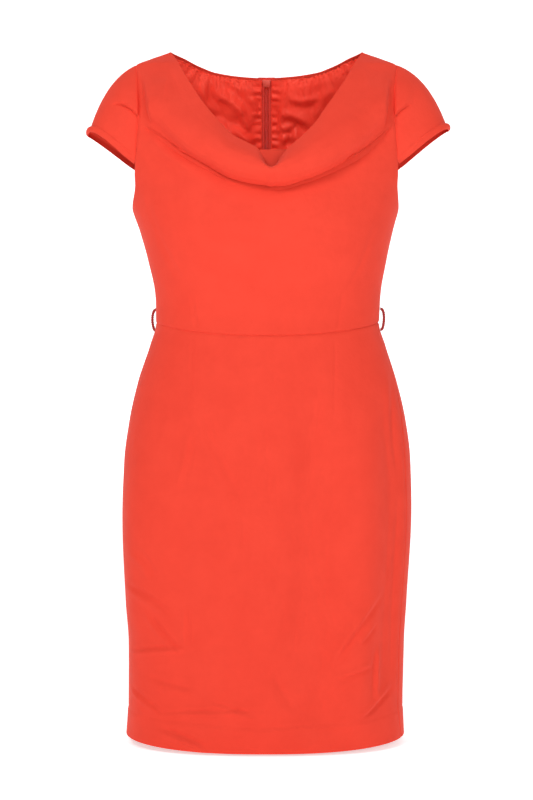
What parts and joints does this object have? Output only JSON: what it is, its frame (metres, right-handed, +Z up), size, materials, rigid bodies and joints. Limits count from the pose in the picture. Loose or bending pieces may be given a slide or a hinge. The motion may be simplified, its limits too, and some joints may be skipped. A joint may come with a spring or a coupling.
{
  "type": "sheath dress filled out as worn",
  "caption": "Knee-length sheath dress with a draped cowl neck, cap sleeves with tucks, a waist seam, thread belt loops and a centre back zip.",
  "frame": {"origin": "midway between the neck ends of the two shoulder seams, where the wearer's shoulders carry the dress", "axes": "+Z up towards the neck, -Y towards the front of the dress, +X towards the wearer's left"},
  "size_m": [0.5083, 0.2656, 0.958],
  "materials": {
    "crepe": "matt stretch crepe, coral red, fine weave",
    "lining_satin": "glossy lining satin, coral red",
    "zip_tape": "woven zip tape, coral red",
    "zip_metal": "painted slider, tab and chain, coral red"
  },
  "bodies": {
    "dress": {"bodice_front": "crepe", "front_facing": "crepe", "bodice_back_left": "crepe", "bodice_back_right": "crepe", "sleeve_left": "crepe", "sleeve_right": "crepe", "skirt_front": "crepe", "skirt_back_left": "crepe", "skirt_back_right": "crepe", "lining_back_left": "lining_satin", "lining_back_right": "lining_satin", "zip_tape_left": "zip_tape", "zip_tape_right": "zip_tape", "zip_chain": "zip_metal", "zip_slider": "zip_metal", "belt_loop_left": "crepe", "belt_loop_right": "crepe"},
    "pull_tab": {"zip_pull_tab": "zip_metal"}
  },
  "joints": [
    {"name": "pull_tab_swing", "type": "hinge", "parent": "dress", "child": "pull_tab", "pos_m": [0, 0.06373, -0.03], "axis": [1, 0, 0], "range_deg": [0, 150]}
  ]
}
